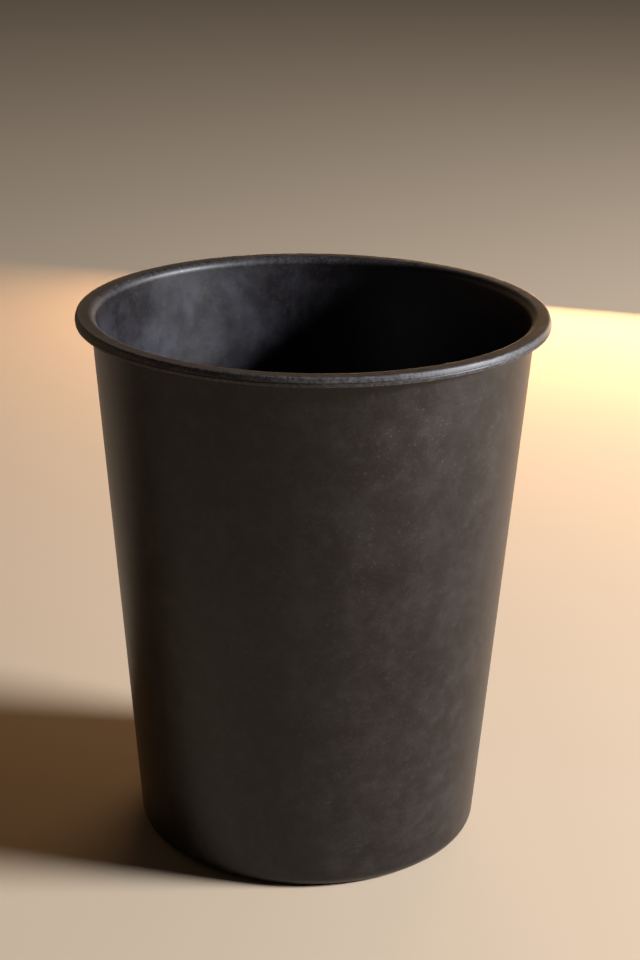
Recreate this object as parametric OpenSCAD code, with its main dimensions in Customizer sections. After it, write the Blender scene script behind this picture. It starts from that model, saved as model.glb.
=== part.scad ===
// Florist bucket for cut flowers, moulded in one piece of plastic: a round wall that tapers
// towards the floor so that empty buckets nest, and a flat rim whose edge turns down into a
// short skirt. Millimetres, +Z up. The origin is the middle of the footprint, on the ground.
//
// The whole bucket is one closed outline turned about Z. The outline is a list of corners,
// each with the radius that rounds it.

/* [Overall] */
// Diameter across the outside of the rim
rim_d = 280; // [240:1:400]
// Height from the ground to the top of the rim
bucket_h = 328; // [120:1:480]
// Diameter where the wall's outer face would meet the ground, before its corner is rounded
base_d = 208.6; // [150:0.2:256]

/* [Wall and floor] */
// Thickness of the wall, square to its face
wall_t = 2.8; // [1.5:0.1:5]
// Thickness of the floor
floor_t = 2.8; // [1.5:0.1:6]
// Radius of the outer corner between wall and ground
base_round = 8; // [4:0.5:12]
// Radius of the inner corner between wall and floor
floor_round = 7; // [2:0.5:11]

/* [Foot] */
// Width of the flat ring that the bucket stands on
foot_w = 8; // [4:0.5:14]
// Height that the middle of the underside is raised above the ground
recess_h = 3; // [2.5:0.5:8]
// Radius of the soft bends where the floor steps up
step_round = 2; // [0:0.5:3]
// Diameter of the moulding gate's mark in the middle of the underside
gate_d = 9; // [4:0.5:20]
// Height of the gate's mark below the raised underside
gate_h = 0.8; // [0.2:0.1:1.5]

/* [Rim] */
// Distance from the wall's outer face to the rim's outer edge, level with the skirt's end
rim_reach = 9.3; // [7:0.1:16]
// Thickness of the flat part of the rim
rim_t = 2.6; // [1.5:0.1:4]
// Height of the rim, from the skirt's end to the top
skirt_h = 5.7; // [5:0.1:20]
// Thickness of the skirt at its end
skirt_t = 2; // [1.5:0.1:4]
// Height of the mould's parting line above the skirt's end
parting_h = 2.3; // [0.8:0.1:3.4]
// Distance that the skirt draws in from the parting line to its end
skirt_draw = 0.3; // [0:0.1:1]
// Distance that the rim's edge draws in from the parting line to the top
rim_draw = 1; // [0:0.1:1.5]
// Radius of the edge between the rim's top and the inside of the bucket
mouth_round = 4.5; // [1:0.1:5]
// Radius of the rim's top outer edge
rim_round = 1.5; // [0.5:0.1:2.5]
// Radius of the corners inside the gutter under the rim
gutter_round = 1; // [0:0.1:1.2]

/* [Hidden] */
$fn = 180;
// A rounded corner bends by at most this angle between two points of the outline.
arc_step = 7.5;

rim_r = rim_d / 2;
base_r = base_d / 2;
skirt_z = bucket_h - skirt_h;
// The wall leans out by this angle from the vertical.
taper = atan((rim_r - rim_reach - base_r) / skirt_z);
// The floor steps up on a slope of this angle, and both its faces bend at the slope's ends.
step_slope = 45;
step_shift = floor_t * tan(step_slope / 2);
// Radius at which the ground face ends and the underside steps up
foot_inner_r = base_r - base_round * tan((90 - taper) / 2) - foot_w;
recess_r = foot_inner_r - recess_h / tan(step_slope);
floor_z = recess_h + floor_t;

// Radius of the wall's outer and inner face at height z
function outer_r(z) = base_r + z * tan(taper);
function inner_r(z) = outer_r(z) - wall_t / cos(taper);

// Corners of the half section as [[radius, height], rounding], from the axis along the
// underside, up the outside, over the rim and down the inside.
OUTLINE = [
    [[0, recess_h - gate_h], 0],
    [[gate_d / 2, recess_h - gate_h], 0],
    [[gate_d / 2, recess_h], 0],
    [[recess_r, recess_h], step_round],
    [[foot_inner_r, 0], 0],
    [[base_r, 0], base_round],
    [[outer_r(bucket_h - rim_t), bucket_h - rim_t], gutter_round],
    [[rim_r - skirt_t, bucket_h - rim_t], gutter_round],
    [[rim_r - skirt_draw - skirt_t, skirt_z], 0],
    [[rim_r - skirt_draw, skirt_z], 0],
    [[rim_r, skirt_z + parting_h], 0],
    [[rim_r - rim_draw, bucket_h], rim_round],
    [[inner_r(bucket_h), bucket_h], mouth_round],
    [[inner_r(floor_t), floor_t], floor_round],
    [[foot_inner_r + step_shift, floor_t], step_round],
    [[recess_r + step_shift, floor_z], step_round],
    [[0, floor_z], 0]
];

function unit(v) = v / norm(v);
function turned(v, angle) =
    [v.x * cos(angle) - v.y * sin(angle), v.x * sin(angle) + v.y * cos(angle)];

// Points of the arc that rounds a corner; before and after are its neighbours
function arc(before, corner, after, radius) =
    let (
        to_before = unit(before - corner),
        to_after = unit(after - corner),
        half_angle = acos(to_before * to_after) / 2,
        centre = corner + unit(to_before + to_after) * radius / sin(half_angle),
        spoke = corner + to_before * radius / tan(half_angle) - centre,
        bend = 180 - 2 * half_angle,
        turn = cross(corner - before, after - corner) > 0 ? bend : -bend,
        steps = ceil(bend / arc_step)
    )
    [for (i = [0 : steps]) centre + turned(spoke, turn * i / steps)];

// Points of a closed outline whose corners are [[radius, height], rounding]
function rounded(outline) =
    let (count = len(outline))
    [
        for (i = [0 : count - 1])
            each outline[i][1] == 0
                ? [outline[i][0]]
                : arc(outline[(i + count - 1) % count][0], outline[i][0],
                      outline[(i + 1) % count][0], outline[i][1])
    ];

module bucket() {
    color([0.11, 0.105, 0.1]) rotate_extrude() polygon(rounded(OUTLINE));
}

bucket();
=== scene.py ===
"""Florist bucket for cut flowers: black moulded plastic with a satin face, dulled by use, on a pale floor.

Metres, +Z up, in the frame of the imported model. The bucket is one closed outline turned about Z, with
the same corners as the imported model's, and with the marks that its making and its use leave on it.
"""

from math import acos, atan, cos, pi, radians, sin, tan

import bpy
import numpy as np
from mathutils import Matrix, Vector


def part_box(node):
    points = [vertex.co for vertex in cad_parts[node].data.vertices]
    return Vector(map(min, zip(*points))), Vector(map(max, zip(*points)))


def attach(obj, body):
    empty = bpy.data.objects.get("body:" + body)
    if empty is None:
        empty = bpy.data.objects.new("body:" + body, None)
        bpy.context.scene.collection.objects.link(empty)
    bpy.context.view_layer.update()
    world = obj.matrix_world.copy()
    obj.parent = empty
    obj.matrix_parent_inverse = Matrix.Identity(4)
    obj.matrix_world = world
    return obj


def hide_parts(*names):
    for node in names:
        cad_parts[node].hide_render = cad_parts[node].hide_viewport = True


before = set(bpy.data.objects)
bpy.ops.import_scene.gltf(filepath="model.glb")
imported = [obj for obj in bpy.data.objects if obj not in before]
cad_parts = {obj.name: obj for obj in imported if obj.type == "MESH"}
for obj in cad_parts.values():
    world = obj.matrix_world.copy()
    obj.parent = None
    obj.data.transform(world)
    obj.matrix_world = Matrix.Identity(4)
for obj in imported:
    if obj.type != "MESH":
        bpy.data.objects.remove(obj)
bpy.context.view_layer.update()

SEED = 7
MM = 0.001

# ---------------------------------------------------------------- sizes of the bucket
_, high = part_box("bucket")
RIM_R = high.x
HEIGHT = high.z
BASE_R = 104.3 * MM
WALL_T = 2.8 * MM
FLOOR_T = 2.8 * MM
BASE_ROUND = 8 * MM
FLOOR_ROUND = 7 * MM
FOOT_W = 8 * MM
RECESS_H = 3 * MM
STEP_ROUND = 2 * MM
GATE_R = 4.5 * MM
GATE_H = 0.8 * MM
RIM_REACH = 9.3 * MM
RIM_T = 2.6 * MM
SKIRT_H = 5.7 * MM
SKIRT_T = 2 * MM
PARTING_H = 2.3 * MM
SKIRT_DRAW = 0.3 * MM
RIM_DRAW = 1.0 * MM
MOUTH_ROUND = 4.5 * MM
RIM_ROUND = 1.5 * MM
GUTTER_ROUND = 1 * MM
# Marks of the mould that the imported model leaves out
EDGE_ROUND = 0.3 * MM
GROOVE_HALF_W = 0.4 * MM
GROOVE_DEPTH = 0.35 * MM

SKIRT_Z = HEIGHT - SKIRT_H
PARTING_Z = SKIRT_Z + PARTING_H
TAPER = atan((RIM_R - RIM_REACH - BASE_R) / SKIRT_Z)
FOOT_INNER_R = BASE_R - BASE_ROUND * tan((pi / 2 - TAPER) / 2) - FOOT_W
# The floor steps up on a slope, and both its faces bend at the slope's ends.
STEP_SLOPE = pi / 4
RECESS_R = FOOT_INNER_R - RECESS_H / tan(STEP_SLOPE)
STEP_SHIFT = FLOOR_T * tan(STEP_SLOPE / 2)
FLOOR_Z = RECESS_H + FLOOR_T


def outer_r(z):
    """Radius of the wall's outer face at height z"""
    return BASE_R + z * tan(TAPER)


def inner_r(z):
    """Radius of the wall's inner face at height z"""
    return outer_r(z) - WALL_T / cos(TAPER)


# Corners of the half section as (radius, height, rounding), from the axis along the underside,
# up the outside, over the rim and down the inside
OUTLINE = [
    (0, RECESS_H - GATE_H, 0),
    (GATE_R, RECESS_H - GATE_H, EDGE_ROUND),
    (GATE_R, RECESS_H, EDGE_ROUND),
    (RECESS_R, RECESS_H, STEP_ROUND),
    (FOOT_INNER_R, 0, EDGE_ROUND),
    (BASE_R, 0, BASE_ROUND),
    (outer_r(HEIGHT - RIM_T), HEIGHT - RIM_T, GUTTER_ROUND),
    (RIM_R - SKIRT_T, HEIGHT - RIM_T, GUTTER_ROUND),
    (RIM_R - SKIRT_DRAW - SKIRT_T, SKIRT_Z, EDGE_ROUND),
    (RIM_R - SKIRT_DRAW, SKIRT_Z, EDGE_ROUND),
    (RIM_R, PARTING_Z - GROOVE_HALF_W, EDGE_ROUND / 3),
    (RIM_R - GROOVE_DEPTH, PARTING_Z, EDGE_ROUND / 3),
    (RIM_R, PARTING_Z + GROOVE_HALF_W, EDGE_ROUND / 3),
    (RIM_R - RIM_DRAW, HEIGHT, RIM_ROUND),
    (inner_r(HEIGHT), HEIGHT, MOUTH_ROUND),
    (inner_r(FLOOR_T), FLOOR_T, FLOOR_ROUND),
    (FOOT_INNER_R + STEP_SHIFT, FLOOR_T, STEP_ROUND),
    (RECESS_R + STEP_SHIFT, FLOOR_Z, STEP_ROUND),
    (0, FLOOR_Z, 0),
]

# ---------------------------------------------------------------- the outline's points
ARC_ERROR = 0.012 * MM
# A straight run has a point this close to each end, and others at most RUN_STEP apart.
RUN_END = 0.8 * MM
RUN_STEP = 12 * MM


def unit(v):
    return v / np.linalg.norm(v)


def arc(before, corner, after, radius):
    """Points of the arc that rounds a corner, whose chords stay within ARC_ERROR of it"""
    to_before = unit(before - corner)
    to_after = unit(after - corner)
    half = acos(to_before @ to_after) / 2
    centre = corner + unit(to_before + to_after) * radius / sin(half)
    spoke = corner + to_before * radius / tan(half) - centre
    into, out = corner - before, after - corner
    bend = np.copysign(pi - 2 * half, into[0] * out[1] - into[1] * out[0])
    steps = max(2, int(np.ceil(abs(bend) / (2 * acos(1 - ARC_ERROR / radius)))))
    points = []
    for angle in np.linspace(0, bend, steps + 1):
        turn = np.array([[cos(angle), -sin(angle)], [sin(angle), cos(angle)]])
        points.append(centre + turn @ spoke)
    return points


def run(start, end):
    """Points strictly between start and end: one close to each end, and even steps between those"""
    length = np.linalg.norm(end - start)
    if length < 3 * RUN_END:
        return []
    steps = int(np.ceil((length - 2 * RUN_END) / RUN_STEP))
    along = np.linspace(RUN_END, length - RUN_END, steps + 1) / length
    return [start + (end - start) * t for t in along]


def section():
    """The whole outline as an array of (radius, height) points"""
    corners = [np.array(c[:2], float) for c in OUTLINE]
    points = [corners[0]]
    for i in range(1, len(corners)):
        rounding = OUTLINE[i][2]
        if rounding:
            bend = arc(corners[i - 1], corners[i], corners[i + 1], rounding)
        else:
            bend = [corners[i]]
        points += run(points[-1], bend[0]) + bend
    return np.array(points)


# ---------------------------------------------------------------- marks of making and use
# Points round the bucket
AROUND = 520
# How far the wall moves inwards: as an oval that is widest towards OVAL_AXIS, and in waves
OUT_OF_ROUND = 0.35 * MM
OVAL_AXIS = radians(35)
WALL_WAVE = 0.12 * MM
# The floor keeps its shape up to this radius, and the warp grows over the next stretch.
WARP_START_R = 90 * MM
WARP_GROWTH = 10 * MM
# The film of dried water starts this far below the rim's top and grows over the next stretch.
FILM_START = 6 * MM
FILM_FADE = 12 * MM
# The rim's outer edge is scuffed over this width, and the mouth's rounding is scuffed less.
SCUFF_WIDTH = 1.8 * MM
SCUFF_FADE = 0.5 * MM
MOUTH_SCUFF = 0.75
MOUTH_SCUFF_REACH = 1.15
MOUTH_SCUFF_FADE = 0.25
# Least and most width, reach along the outline and depth of a nick
NICK_WIDTH = (1.3 * MM, 2.8 * MM)
NICK_REACH = (0.35 * MM, 0.9 * MM)
NICK_DEPTH = (0.04 * MM, 0.14 * MM)
# The edges that get knocked, as (radius, height), and how many nicks each has
KNOCKED = [
    ((RIM_R - RIM_DRAW - 0.4 * MM, HEIGHT - 0.4 * MM), 60),
    ((RIM_R - SKIRT_DRAW, SKIRT_Z), 30),
    ((RIM_R - 0.1 * MM, PARTING_Z + GROOVE_HALF_W), 26),
    ((inner_r(HEIGHT) + 1.3 * MM, HEIGHT - 1.3 * MM), 16),
    ((BASE_R - 1.5 * MM, 2 * MM), 10),
]
# The edges that rub pale, as (radius, height, reach along the outline, strength)
WORN = [
    (RIM_R - SKIRT_DRAW, SKIRT_Z, 0.6 * MM, 0.4),
    (RIM_R - 0.05 * MM, PARTING_Z + GROOVE_HALF_W, 0.4 * MM, 0.5),
    (RIM_R - RIM_DRAW - 0.4 * MM, HEIGHT - 0.4 * MM, 1.0 * MM, 0.9),
    (inner_r(HEIGHT) + 1.3 * MM, HEIGHT - 1.3 * MM, 3.4 * MM, 0.15),
    (BASE_R - 2.2 * MM, 2.2 * MM, 3.5 * MM, 0.3),
]
# Hazy patches on the outer face, as (degrees right of the front, height, half width, half height,
# strength)
# The two strongest patches, high on the right of the front, are partly painted light: they put a paler
# haze where the window light falls.
HAZE_AND_PAINTED_LIGHT = [
    (30, 0.292, 0.048, 0.020, 1.0),
    (52, 0.262, 0.022, 0.040, 0.7),
    (-12, 0.296, 0.030, 0.012, 0.5),
    (14, 0.215, 0.040, 0.030, 0.45),
    (-38, 0.150, 0.035, 0.050, 0.35),
    (-4, 0.062, 0.011, 0.014, 0.8),
    (2, 0.040, 0.013, 0.007, 0.6),
    (24, 0.100, 0.045, 0.035, 0.35),
    (120, 0.240, 0.060, 0.040, 0.8),
    (205, 0.270, 0.050, 0.030, 0.7),
    (-100, 0.200, 0.050, 0.060, 0.6),
    (165, 0.080, 0.050, 0.040, 0.5),
]


def shaped(points, angles):
    """Vertices (outline point, angle, xyz) of the turned outline, with its warp and its nicks"""
    radius = points[:, 0][:, None] + 0 * angles
    height = points[:, 1][:, None] + 0 * angles
    share = height / HEIGHT

    # A moulded wall is never quite round: it only moves inwards, so it stays within the rim's circle.
    oval = OUT_OF_ROUND * share**2 * (1 - np.cos(2 * (angles - OVAL_AXIS))) / 2
    wave = np.cos(5 * angles + 9 * share) + np.cos(3 * angles - 6 * share + 1) + 2
    wave = wave * WALL_WAVE / 4 * np.sin(pi * np.clip(share, 0, 1)) ** 2
    on_wall = np.clip((radius - WARP_START_R) / WARP_GROWTH, 0, 1)
    radius = radius - (oval + wave) * on_wall

    # Nicks are pushed in square to the outline.
    along = np.gradient(points, axis=0)
    normal = np.stack([along[:, 1], -along[:, 0]], 1)
    normal /= np.linalg.norm(normal, axis=1)[:, None]
    draw = np.random.default_rng(SEED)
    dent = 0 * radius
    for edge, count in KNOCKED:
        from_edge = np.linalg.norm(points - np.array(edge), axis=1)
        for place in draw.uniform(0, 2 * pi, count):
            wide = draw.uniform(*NICK_WIDTH)
            reach = draw.uniform(*NICK_REACH)
            deep = draw.uniform(*NICK_DEPTH)
            apart = (angles - place + pi) % (2 * pi) - pi
            across = np.exp(-((apart * edge[0] / wide) ** 2))
            dent += deep * np.exp(-((from_edge / reach) ** 2))[:, None] * across
    radius = radius - dent * normal[:, 0][:, None]
    height = height - dent * normal[:, 1][:, None]
    return np.stack([radius * np.cos(angles), radius * np.sin(angles), height], 2)


def masks(points, angles):
    """How much of each mark is at each vertex, from 0 to 1"""
    inside = np.zeros(len(points))
    mouth = int(np.argmax(points[:, 1] * 1000 - points[:, 0]))
    depth = HEIGHT - points[mouth:, 1]
    inside[mouth:] = np.clip((depth - FILM_START) / FILM_FADE, 0, 1)

    scuffed = np.clip((points[:, 0] - RIM_R + SCUFF_WIDTH) / SCUFF_FADE, 0, 1)
    in_mouth = np.linalg.norm(points - np.array([inner_r(HEIGHT), HEIGHT]), axis=1)
    near_mouth = np.clip((MOUTH_SCUFF_REACH - in_mouth / MOUTH_ROUND) / MOUTH_SCUFF_FADE, 0, 1)
    scuffed = np.maximum(scuffed, MOUTH_SCUFF * near_mouth)
    in_groove = np.linalg.norm(points - np.array([RIM_R - GROOVE_DEPTH, PARTING_Z]), axis=1)
    scuffed *= np.clip(in_groove / GROOVE_HALF_W, 0, 1)

    worn = np.zeros(len(points))
    for radius, height, reach, strength in WORN:
        from_edge = np.linalg.norm(points - np.array([radius, height]), axis=1)
        worn = np.maximum(worn, strength * np.exp(-((from_edge / reach) ** 2)))

    outer = np.abs(points[:, 0] - outer_r(points[:, 1])) < 1 * MM
    # Dust haze on the outer face; high on the front's right it also paints the window light as a paler
    # haze.
    hazy_and_painted_light = np.zeros((len(points), len(angles)))
    for right, height, half_width, half_height, strength in HAZE_AND_PAINTED_LIGHT:
        apart = (angles - radians(right - 90) + pi) % (2 * pi) - pi
        across = (apart * outer_r(height) / half_width) ** 2
        up = ((points[:, 1] - height) / half_height) ** 2
        spot = strength * np.exp(-(up[:, None] + across)) * outer[:, None]
        hazy_and_painted_light = np.maximum(hazy_and_painted_light, spot)
    everywhere = np.ones(len(angles))
    return {
        "inside": np.outer(inside, everywhere),
        "scuffed": np.outer(scuffed, everywhere),
        "worn": np.outer(worn, everywhere),
        "hazy_and_painted_light": hazy_and_painted_light,
    }


# ---------------------------------------------------------------- the bucket's mesh
# Share of the flat map that stays empty along each edge
MAP_MARGIN = 0.004


def bucket_mesh():
    """The turned outline as one closed mesh, with its masks and a flat map of the surface"""
    points = section()
    back = pi / 2
    angles = back + np.arange(AROUND) * 2 * pi / AROUND
    grid = shaped(points, angles)
    rings = len(points) - 2
    vertices = np.concatenate([grid[:1, 0], grid[1:-1].reshape(-1, 3), grid[-1:, 0]])
    last = len(vertices) - 1

    ring, spoke = np.meshgrid(np.arange(rings - 1), np.arange(AROUND), indexing="ij")
    ahead = (spoke + 1) % AROUND
    here = 1 + ring * AROUND
    above = here + AROUND
    quads = np.stack([here + spoke, here + ahead, above + ahead, above + spoke], 2)
    quads = quads.reshape(-1, 4)
    spokes = np.arange(AROUND)
    onward = (spokes + 1) % AROUND
    top = 1 + (rings - 1) * AROUND
    under = np.stack([0 * spokes, 1 + onward, 1 + spokes], 1)
    floor = np.stack([0 * spokes + last, top + spokes, top + onward], 1)

    mesh = bpy.data.meshes.new("bucket_shell")
    faces = under.tolist() + quads.tolist() + floor.tolist()
    mesh.from_pydata(vertices.tolist(), [], faces)
    mesh.polygons.foreach_set("use_smooth", [True] * len(faces))

    for name, mask in masks(points, angles).items():
        layer = mesh.attributes.new(name, "FLOAT", "POINT")
        values = np.concatenate([mask[:1, 0], mask[1:-1].ravel(), mask[-1:, 0]])
        layer.data.foreach_set("value", values.astype(np.float32))

    # The map runs once round the bucket across, and along the outline upwards.
    step = np.linalg.norm(np.diff(points, axis=0), axis=1)
    up = np.concatenate([[0], np.cumsum(step)]) / step.sum()
    up = MAP_MARGIN + (1 - 2 * MAP_MARGIN) * up
    across = MAP_MARGIN + (1 - 2 * MAP_MARGIN) * np.arange(AROUND + 1) / AROUND
    u_quad = np.stack([across[spoke], across[spoke + 1], across[spoke + 1], across[spoke]], 2)
    v_quad = np.stack([up[ring + 1], up[ring + 1], up[ring + 2], up[ring + 2]], 2)
    middle = (across[:-1] + across[1:]) / 2
    flat = np.ones(AROUND)
    u_under = np.stack([middle, across[1:], across[:-1]], 1)
    v_under = np.stack([up[0] * flat, up[1] * flat, up[1] * flat], 1)
    u_floor = np.stack([middle, across[:-1], across[1:]], 1)
    v_floor = np.stack([up[-1] * flat, up[-2] * flat, up[-2] * flat], 1)
    u = np.concatenate([u_under.ravel(), u_quad.ravel(), u_floor.ravel()])
    v = np.concatenate([v_under.ravel(), v_quad.ravel(), v_floor.ravel()])
    flat_map = mesh.uv_layers.new(name="OFBake")
    flat_map.data.foreach_set("uv", np.stack([u, v], 1).ravel().astype(np.float32))
    mesh.validate()
    return mesh


# ---------------------------------------------------------------- materials
class Nodes:
    """Builds one material's node tree"""

    def __init__(self, name):
        self.material = bpy.data.materials.new(name)
        self.material.use_nodes = True
        self.tree = self.material.node_tree
        self.shader = self.tree.nodes["Principled BSDF"]
        self.place = self.add("ShaderNodeTexCoord").outputs["Object"]

    def add(self, kind, inputs=(), **settings):
        """A new node, with its settings and with each input linked or set"""
        node = self.tree.nodes.new(kind)
        for key, value in settings.items():
            setattr(node, key, value)
        for key, value in dict(inputs).items():
            self.give(node.inputs[key], value)
        return node

    def give(self, socket, value):
        if isinstance(value, bpy.types.NodeSocket):
            self.tree.links.new(value, socket)
        else:
            socket.default_value = value

    def maths(self, operation, a, b=0.0, c=0.0):
        inputs = {0: a, 1: b, 2: c}
        return self.add("ShaderNodeMath", inputs, operation=operation).outputs[0]

    def stretched(self, x, y, z):
        """The object's coordinates, scaled along each axis"""
        inputs = {"Vector": self.place, "Scale": (x, y, z)}
        return self.add("ShaderNodeMapping", inputs).outputs[0]

    def noise(self, scale, detail=3.0, roughness=0.5, distortion=0.0, at=None):
        inputs = {
            "Vector": at or self.place,
            "Scale": scale,
            "Detail": detail,
            "Roughness": roughness,
            "Distortion": distortion,
        }
        return self.add("ShaderNodeTexNoise", inputs).outputs[0]

    def ramp(self, value, start, end, low=0.0, high=1.0):
        """value, taken smoothly from low at start to high at end"""
        inputs = {0: value, 1: start, 2: end, 3: low, 4: high}
        return self.add("ShaderNodeMapRange", inputs, interpolation_type="SMOOTHSTEP").outputs[0]

    def dashes(self, wrapped, angle, length, width, share):
        """Short parallel marks on the wall, angle degrees from level, of about this length and width"""
        inputs = {"Vector": wrapped, "Angle": radians(angle)}
        turn = self.add("ShaderNodeVectorRotate", inputs, rotation_type="Z_AXIS").outputs[0]
        inputs = {"Vector": turn, "Scale": (1 / length, 1 / width, 0)}
        scaled = self.add("ShaderNodeMapping", inputs)
        pattern = self.noise(1, detail=1, at=scaled.outputs[0])
        return self.ramp(pattern, 0.80 - share, 0.86 - share)

    def mask(self, name):
        return self.add("ShaderNodeAttribute", attribute_name=name).outputs["Fac"]

    def mix(self, share, a, b):
        inputs = {0: share, 6: a, 7: b}
        return self.add("ShaderNodeMix", inputs, data_type="RGBA").outputs[2]

    def bump(self, height, distance, strength, normal=None):
        inputs = {"Height": height, "Distance": distance, "Strength": strength}
        if normal:
            inputs["Normal"] = normal
        return self.add("ShaderNodeBump", inputs).outputs[0]


def bucket_plastic():
    """Black plastic: satin, with clouds, rub marks, specks, scratches and pale worn edges"""
    n = Nodes("bucket_plastic")
    inside = n.mask("inside")
    worn = n.mask("worn")
    hazy_and_painted_light = n.mask("hazy_and_painted_light")
    scuffed = n.mask("scuffed")

    # The wall unrolled: distance round it, and height
    apart = n.add("ShaderNodeSeparateXYZ", {0: n.place}).outputs
    towards_front = n.maths("MULTIPLY", apart["Y"], -1)
    around = n.maths("MULTIPLY", n.maths("ARCTAN2", apart["X"], towards_front), BASE_R)
    wrapped = n.add("ShaderNodeCombineXYZ", {0: around, 1: apart["Z"]}).outputs[0]

    cloud = n.noise(12, detail=6, roughness=0.62, distortion=0.5)
    fine_cloud = n.noise(52, detail=5, roughness=0.65, distortion=0.3)
    grime = n.noise(120, detail=4, roughness=0.7)
    bands = n.noise(1, detail=4, roughness=0.6, at=n.stretched(14, 14, 75))
    rubs = n.noise(1, detail=3, roughness=0.6, at=n.stretched(18, 18, 520))
    rub_places = n.ramp(n.noise(17, detail=2), 0.46, 0.66)
    rub = n.maths("MULTIPLY", n.ramp(rubs, 0.50, 0.72), rub_places)

    # Short scratches each way, fewer inside, and specks of dried water and dust
    scratch_width = 0.5 * MM
    level = n.dashes(wrapped, 8, 7 * MM, scratch_width, 0.11)
    steep = n.dashes(wrapped, 64, 6 * MM, scratch_width, 0.10)
    slant = n.dashes(wrapped, -35, 5 * MM, scratch_width, 0.10)
    scratch = n.maths("MAXIMUM", n.maths("MAXIMUM", level, steep), slant)
    scratch = n.maths("MULTIPLY", scratch, n.ramp(inside, 0.0, 1.0, 1.0, 0.4))
    grit = n.noise(520, detail=3, roughness=0.7)
    speck = n.ramp(grit, 0.60, 0.71)

    # The inside is dull with dried water, in streaks and clouds.
    streaks = n.noise(1, detail=4, roughness=0.6, distortion=0.6, at=n.stretched(38, 38, 19))
    film = n.maths("MULTIPLY", n.ramp(streaks, 0.30, 0.74), n.ramp(cloud, 0.35, 0.68, 0.35, 1.0))
    film = n.maths("MULTIPLY", inside, film)
    # Dust haze, which high on the right of the front is also painted light: a paler haze where the window
    # light falls
    haze_and_painted_light = n.maths("MULTIPLY", hazy_and_painted_light, n.ramp(fine_cloud, 0.35, 0.65, 0.1, 1.0))
    wear = n.maths("MULTIPLY", worn, n.ramp(grit, 0.3, 0.7, 0.25, 1.0))

    # Each of these lightens the black plastic by its share. The haze, and the specks and scratches made
    # paler in it, are dust, and high on the front's right they are also painted window light.
    dust = n.maths("MULTIPLY", haze_and_painted_light, 0.04)
    for pattern, amount in (
        (n.ramp(cloud, 0.42, 0.68), 0.035),
        (n.ramp(fine_cloud, 0.44, 0.66), 0.045),
        (n.ramp(grime, 0.44, 0.66), 0.04),
        (n.ramp(bands, 0.48, 0.75), 0.015),
        (rub, 0.03),
        (speck, n.maths("MULTIPLY_ADD", haze_and_painted_light, 0.30, 0.12)),
        (scratch, n.maths("MULTIPLY_ADD", haze_and_painted_light, 0.16, 0.12)),
        (wear, 0.45),
    ):
        dust = n.maths("MULTIPLY_ADD", pattern, amount, dust)
    scuff = n.maths("MULTIPLY", n.maths("POWER", scuffed, 3.0), n.ramp(grit, 0.35, 0.7, 0.03, 0.32))
    dust = n.maths("ADD", scuff, dust)
    black = (0.0030, 0.0013, 0.0014, 1)
    pale = (0.122, 0.110, 0.112, 1)
    violet = (0.100, 0.106, 0.150, 1)
    colour = n.mix(n.maths("MULTIPLY", film, 0.15), n.mix(dust, black, pale), violet)
    n.give(n.shader.inputs["Base Color"], colour)

    rough = n.ramp(cloud, 0.3, 0.7, 0.355, 0.385)
    rough = n.maths("MULTIPLY_ADD", n.ramp(fine_cloud, 0.35, 0.65), 0.02, rough)
    rough = n.maths("MULTIPLY_ADD", haze_and_painted_light, 0.02, rough)
    rough = n.maths("MULTIPLY_ADD", film, 0.08, rough)
    rough = n.maths("MULTIPLY_ADD", scuffed, n.ramp(grit, 0.3, 0.7, 0.08, 0.22), rough)
    n.give(n.shader.inputs["Roughness"], rough)
    n.give(n.shader.inputs["IOR"], 1.42)

    # A fine raised grain, with the rubs and scratches sunk into it
    bump_height = 0.03 * MM
    grain = n.bump(n.noise(1500, detail=2), bump_height, 0.35)
    marks = n.maths("ADD", rub, scratch)
    n.give(n.shader.inputs["Normal"], n.bump(marks, bump_height, -0.4, grain))
    return n.material


def floor_plaster():
    """A pale warm floor, matte, with the faintest change of tone"""
    n = Nodes("floor_plaster")
    tone = n.noise(1.2, detail=3, roughness=0.5)
    colour = n.mix(tone, (0.465, 0.36, 0.255, 1), (0.49, 0.38, 0.27, 1))
    n.give(n.shader.inputs["Base Color"], colour)
    n.give(n.shader.inputs["Roughness"], 0.9)
    n.give(n.shader.inputs["Specular IOR Level"], 0.2)
    return n.material


# ---------------------------------------------------------------- the bucket
def add(name, data):
    thing = bpy.data.objects.new(name, data)
    bpy.context.scene.collection.objects.link(thing)
    return thing


bucket = add("bucket_shell", bucket_mesh())
bucket.data.materials.append(bucket_plastic())
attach(bucket, "root")
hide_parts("bucket")

# ---------------------------------------------------------------- floor, lights and world
FLOOR_HALF = 20
floor_mesh = bpy.data.meshes.new("floor")
corners = [(x * FLOOR_HALF, y * FLOOR_HALF, 0) for x, y in ((-1, -1), (1, -1), (1, 1), (-1, 1))]
floor_mesh.from_pydata(corners, [], [(0, 1, 2, 3)])
floor = add("floor", floor_mesh)
floor.data.materials.append(floor_plaster())


def softbox(name, azimuth, elevation, distance, size, power, colour):
    """An oval soft light that faces the bucket's rim; azimuth 0 is +X, in degrees"""
    light = bpy.data.lights.new(name, "AREA")
    light.shape = "ELLIPSE"
    light.size, light.size_y = size
    light.energy = power
    light.color = colour
    lamp = add(name, light)
    lamp.visible_camera = False
    a, e = radians(azimuth), radians(elevation)
    away = Vector((cos(e) * cos(a), cos(e) * sin(a), sin(e)))
    lamp.location = Vector((0, 0, HEIGHT)) + away * distance
    lamp.rotation_euler = away.to_track_quat("Z", "Y").to_euler()


softbox(
    "window",
    azimuth=-10,
    elevation=21,
    distance=3.0,
    size=(1.0, 0.45),
    power=305,
    colour=(0.89, 0.93, 1.0),
)
softbox(
    "bounce",
    azimuth=74,
    elevation=-5,
    distance=1.3,
    size=(1.2, 0.36),
    power=15,
    colour=(1.0, 0.60, 0.30),
)

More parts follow.
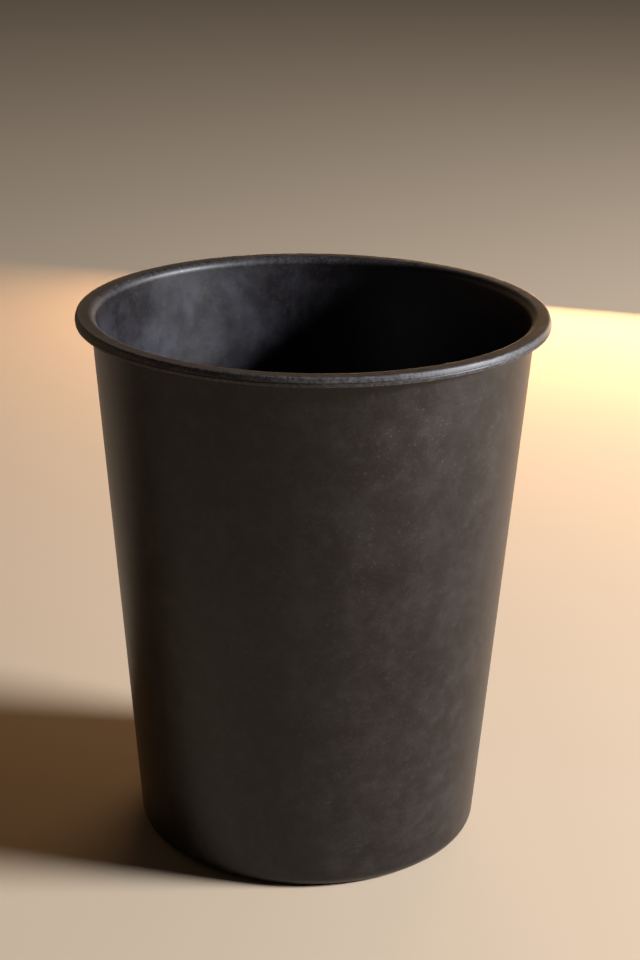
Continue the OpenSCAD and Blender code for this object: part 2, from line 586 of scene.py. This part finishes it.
# The room is dim overhead and towards the front, and warmer and lighter behind the bucket. The camera
# sees a plain pale backdrop instead.
DIM_ROOM = (0.016, 0.015, 0.015, 1)
LIT_ROOM = (0.44, 0.29, 0.155, 1)
BACKDROP = (0.62, 0.54, 0.45, 1)
world = bpy.data.worlds.new("room")
world.use_nodes = True
room = world.node_tree
seen = room.nodes.new("ShaderNodeTexCoord").outputs["Generated"]
split = room.nodes.new("ShaderNodeSeparateXYZ")
room.links.new(seen, split.inputs[0])


def fade(value, start, end, name):
    """value, taken smoothly from 0 at start to 1 at end"""
    node = room.nodes.new("ShaderNodeMapRange")
    node.name = name
    node.interpolation_type = "SMOOTHSTEP"
    node.inputs["From Min"].default_value = start
    node.inputs["From Max"].default_value = end
    room.links.new(value, node.inputs["Value"])
    return node.outputs[0]


behind = fade(split.outputs["Y"], -0.6, 0.5, "behind")
not_above = fade(split.outputs["Z"], 0.6, 0.1, "not above")
share = room.nodes.new("ShaderNodeMath")
share.operation = "MULTIPLY"
room.links.new(behind, share.inputs[0])
room.links.new(not_above, share.inputs[1])
lit = room.nodes.new("ShaderNodeMix")
lit.data_type = "RGBA"
room.links.new(share.outputs[0], lit.inputs[0])
lit.inputs[6].default_value = DIM_ROOM
lit.inputs[7].default_value = LIT_ROOM
to_camera = room.nodes.new("ShaderNodeMix")
to_camera.data_type = "RGBA"
seen_directly = room.nodes.new("ShaderNodeLightPath").outputs["Is Camera Ray"]
room.links.new(seen_directly, to_camera.inputs[0])
room.links.new(lit.outputs[2], to_camera.inputs[6])
to_camera.inputs[7].default_value = BACKDROP
room.links.new(to_camera.outputs[2], room.nodes["Background"].inputs["Color"])
bpy.context.scene.world = world

# ---------------------------------------------------------------- camera
# The distance is in metres from the middle of the bucket, the angles in radians, and the lens and
# the sensor in millimetres.
CAMERA_DISTANCE = 1.2928
CAMERA_ELEVATION = 0.386
CAMERA_TILT = 0.0414
CAMERA_PAN = -0.0041
CAMERA_ROLL = 0.0126
CAMERA_LENS = 78.75
CAMERA_SENSOR = 36
camera_data = bpy.data.cameras.new("camera")
camera_data.lens = CAMERA_LENS
camera_data.sensor_width = CAMERA_SENSOR
camera = add("camera", camera_data)
camera.matrix_world = (
    Matrix.Translation(
        (
            0,
            -CAMERA_DISTANCE * cos(CAMERA_ELEVATION),
            HEIGHT / 2 + CAMERA_DISTANCE * sin(CAMERA_ELEVATION),
        )
    )
    @ Matrix.Rotation(pi / 2 - CAMERA_ELEVATION, 4, "X")
    @ Matrix.Rotation(CAMERA_PAN, 4, "Y")
    @ Matrix.Rotation(CAMERA_TILT, 4, "X")
    @ Matrix.Rotation(CAMERA_ROLL, 4, "Z")
)
bpy.context.scene.camera = camera
bpy.context.scene.view_settings.view_transform = "Standard"
